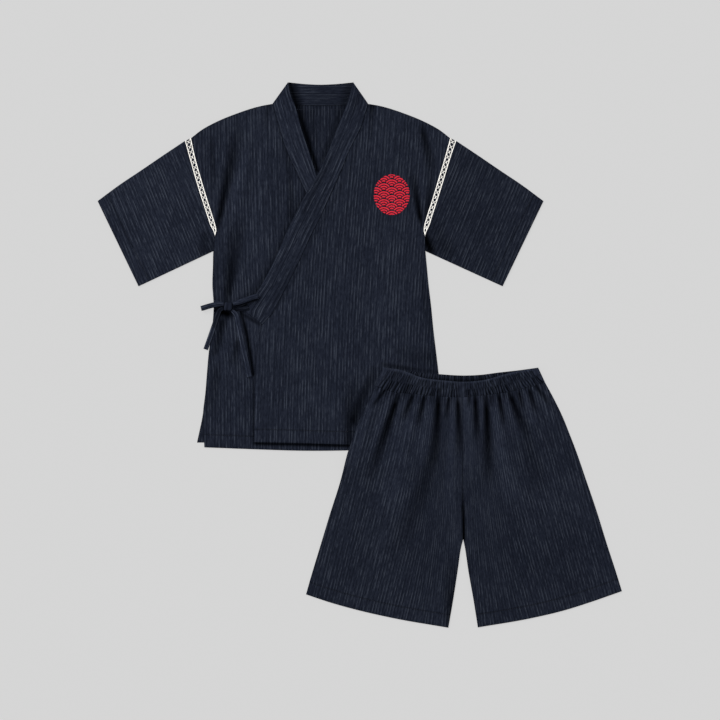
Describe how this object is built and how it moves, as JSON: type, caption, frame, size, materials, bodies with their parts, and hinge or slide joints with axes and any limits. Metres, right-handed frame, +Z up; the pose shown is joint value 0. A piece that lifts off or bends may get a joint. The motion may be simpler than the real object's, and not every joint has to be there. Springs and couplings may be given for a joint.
{
  "type": "jinbei set",
  "caption": "Cotton jinbei laid flat: a wrap jacket with short laced-in sleeves and a side bow, and gathered shorts lying on its lower corner.",
  "frame": {"origin": "middle of the set's footprint, on the surface it lies on", "axes": "+X towards the wearer's left of the jacket, +Y towards its collar, +Z up off the surface"},
  "size_m": [1.1003, 1.1426, 0.0166],
  "materials": {
    "cotton": "navy slub-striped cotton, matte",
    "lace": "cream cotton openwork insertion",
    "sewing_thread": "navy sewing thread",
    "embroidery": "red satin-stitched thread"
  },
  "bodies": {
    "root": {"jacket_back": "cotton", "front_right_under": "cotton", "front_left_over": "cotton", "collar_back": "cotton", "collar_right": "cotton", "collar_left": "cotton", "sleeve_right": "cotton", "sleeve_left": "cotton", "lace_front_right": "lace", "lace_back_right": "lace", "lace_front_left": "lace", "lace_back_left": "lace", "tie_knot": "cotton", "tie_strand_body": "cotton", "tie_strand_collar": "cotton", "tie_loop_body": "cotton", "tie_loop_collar": "cotton", "tie_tail_body": "cotton", "tie_tail_collar": "cotton", "waistband_back": "cotton", "waistband_front": "cotton", "leg_back_right": "cotton", "leg_back_left": "cotton", "leg_front_right": "cotton", "leg_front_left": "cotton"}
  },
  "joints": []
}
